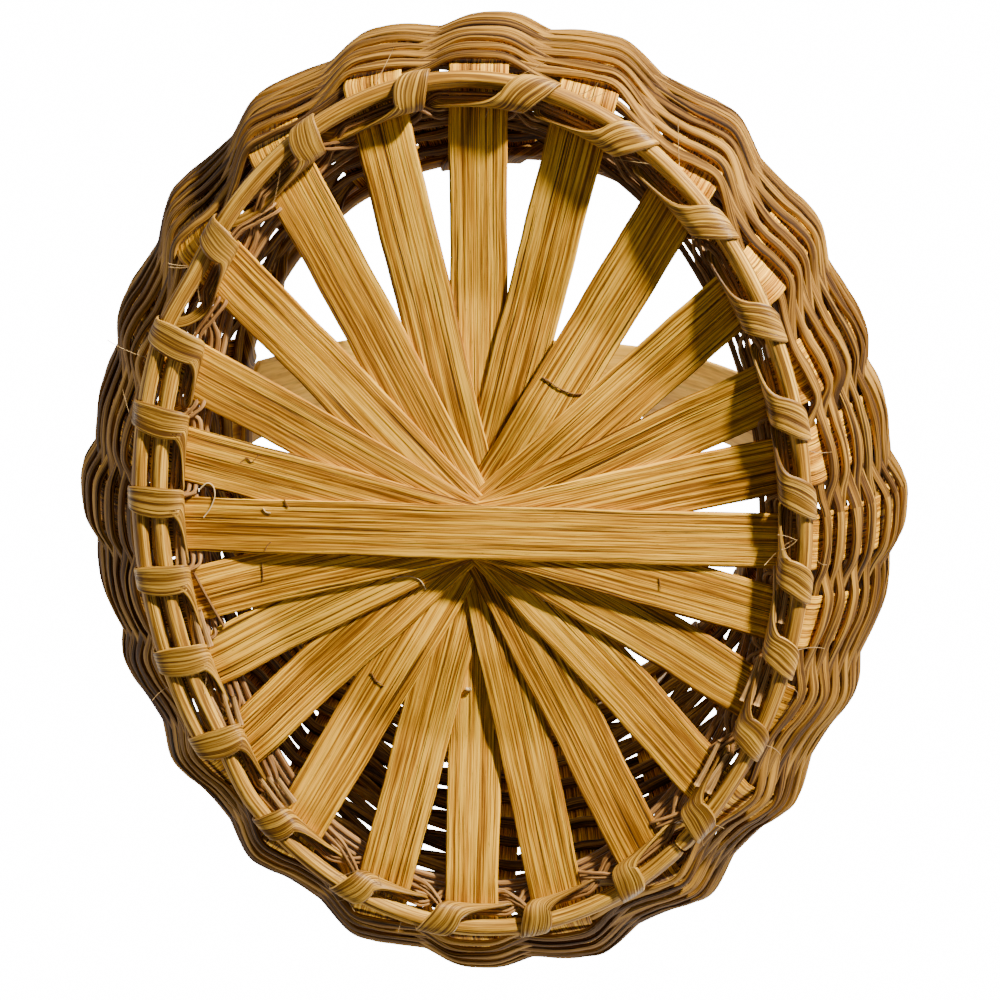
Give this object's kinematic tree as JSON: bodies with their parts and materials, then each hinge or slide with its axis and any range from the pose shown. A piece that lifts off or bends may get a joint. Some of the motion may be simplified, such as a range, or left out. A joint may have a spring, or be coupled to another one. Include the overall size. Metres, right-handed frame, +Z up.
{
  "type": "handled basket",
  "caption": "Oval woven basket with a lashed foot ring, a bulging plain-woven wall, a lashed rim and a fixed bent-wood hoop handle.",
  "frame": {"origin": "centre of the bounding box, on the surface that the foot lashing stands on", "axes": "+Z up through the mouth, +Y along the long axis of the oval, +X along the short axis, in the plane of the handle"},
  "size_m": [0.3063, 0.3613, 0.3016],
  "materials": {
    "spoke_wood": "matte",
    "reed": "satin",
    "lashing": "satin",
    "weaver": "matte",
    "base_weaver": "matte",
    "handle_wood": "satin"
  },
  "bodies": {
    "root": {"spoke_01": "spoke_wood", "spoke_02": "spoke_wood", "spoke_03": "spoke_wood", "spoke_04": "spoke_wood", "spoke_05": "spoke_wood", "spoke_06": "spoke_wood", "spoke_07": "spoke_wood", "spoke_08": "spoke_wood", "spoke_09": "spoke_wood", "spoke_10": "spoke_wood", "spoke_11": "spoke_wood", "spoke_12": "spoke_wood", "foot_reed_long": "reed", "foot_reed_short": "reed", "foot_lashing": "lashing", "base_weaver_1": "base_weaver", "base_weaver_2": "base_weaver", "wall_weave_01": "weaver", "wall_weave_02": "weaver", "wall_weave_03": "weaver", "wall_weave_04": "weaver", "wall_weave_05": "weaver", "wall_weave_06": "weaver", "wall_weave_07": "weaver", "wall_weave_08": "weaver", "wall_weave_09": "weaver", "wall_weave_10": "weaver", "wall_weave_11": "weaver", "wall_weave_12": "weaver", "wall_weave_13": "weaver", "wall_weave_14": "weaver", "rim_reed_outer": "reed", "rim_reed_inner": "reed", "rim_lashing_1": "lashing", "rim_lashing_2": "lashing", "handle": "handle_wood"}
  },
  "joints": []
}
